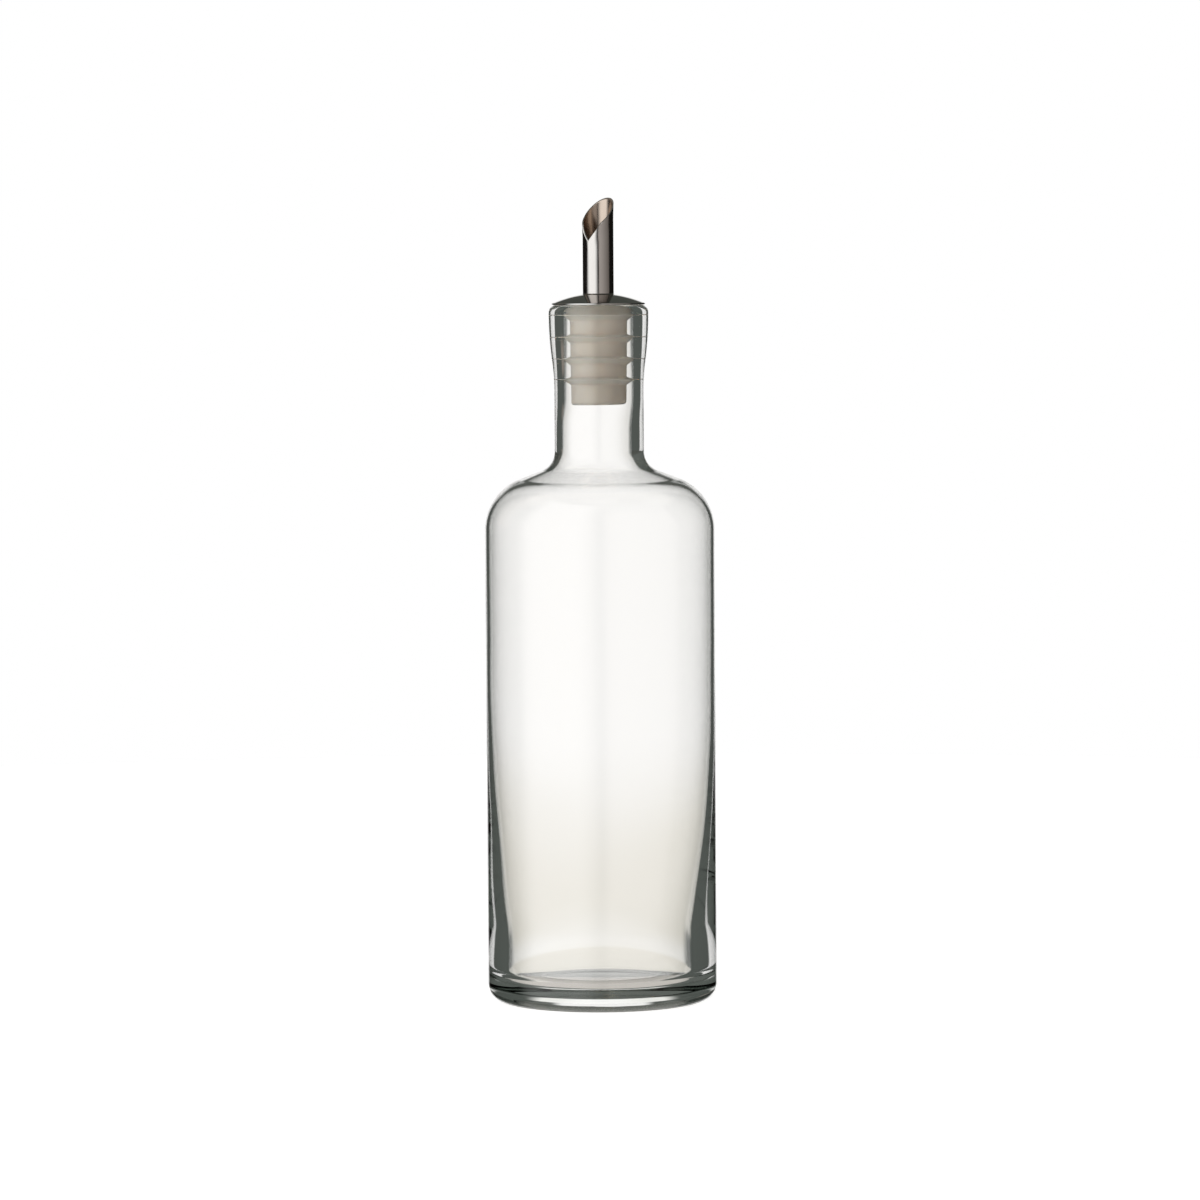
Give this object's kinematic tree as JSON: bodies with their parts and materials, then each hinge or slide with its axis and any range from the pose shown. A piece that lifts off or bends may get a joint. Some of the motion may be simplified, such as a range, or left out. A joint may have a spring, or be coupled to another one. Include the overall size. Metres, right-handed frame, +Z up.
{
  "type": "glass oil bottle",
  "caption": "Clear glass oil bottle with a thick base, rounded shoulder and straight neck, closed by a ribbed soft stopper that holds a steel spout with a slanted mouth.",
  "frame": {"origin": "centre of the base, on the surface the bottle stands on", "axes": "+Z up along the bottle's axis; +X to the right and -Y towards a viewer who sees the spout's mouth open to the left and forwards"},
  "size_m": [0.0734, 0.0734, 0.2574],
  "materials": {
    "clear_glass": "smooth blown glass with slight waviness",
    "frosted_silicone": "frosted translucent",
    "polished_steel": "polished",
    "satin_steel": "satin"
  },
  "bodies": {
    "bottle": {"bottle": "clear_glass"},
    "stopper": {"stopper": "frosted_silicone"},
    "spout": {"spout_tube": "satin_steel", "cap_disc": "polished_steel", "breather_tube": "satin_steel"}
  },
  "joints": [
    {"name": "stopper_pull", "type": "slide", "parent": "bottle", "child": "stopper", "axis": [0, 0, 1], "range_m": [0, 0.05]},
    {"name": "spout_turn", "type": "hinge", "parent": "stopper", "child": "spout", "pos_m": [0, 0, 0.2072], "axis": [0, 0, 1], "continuous": true}
  ]
}
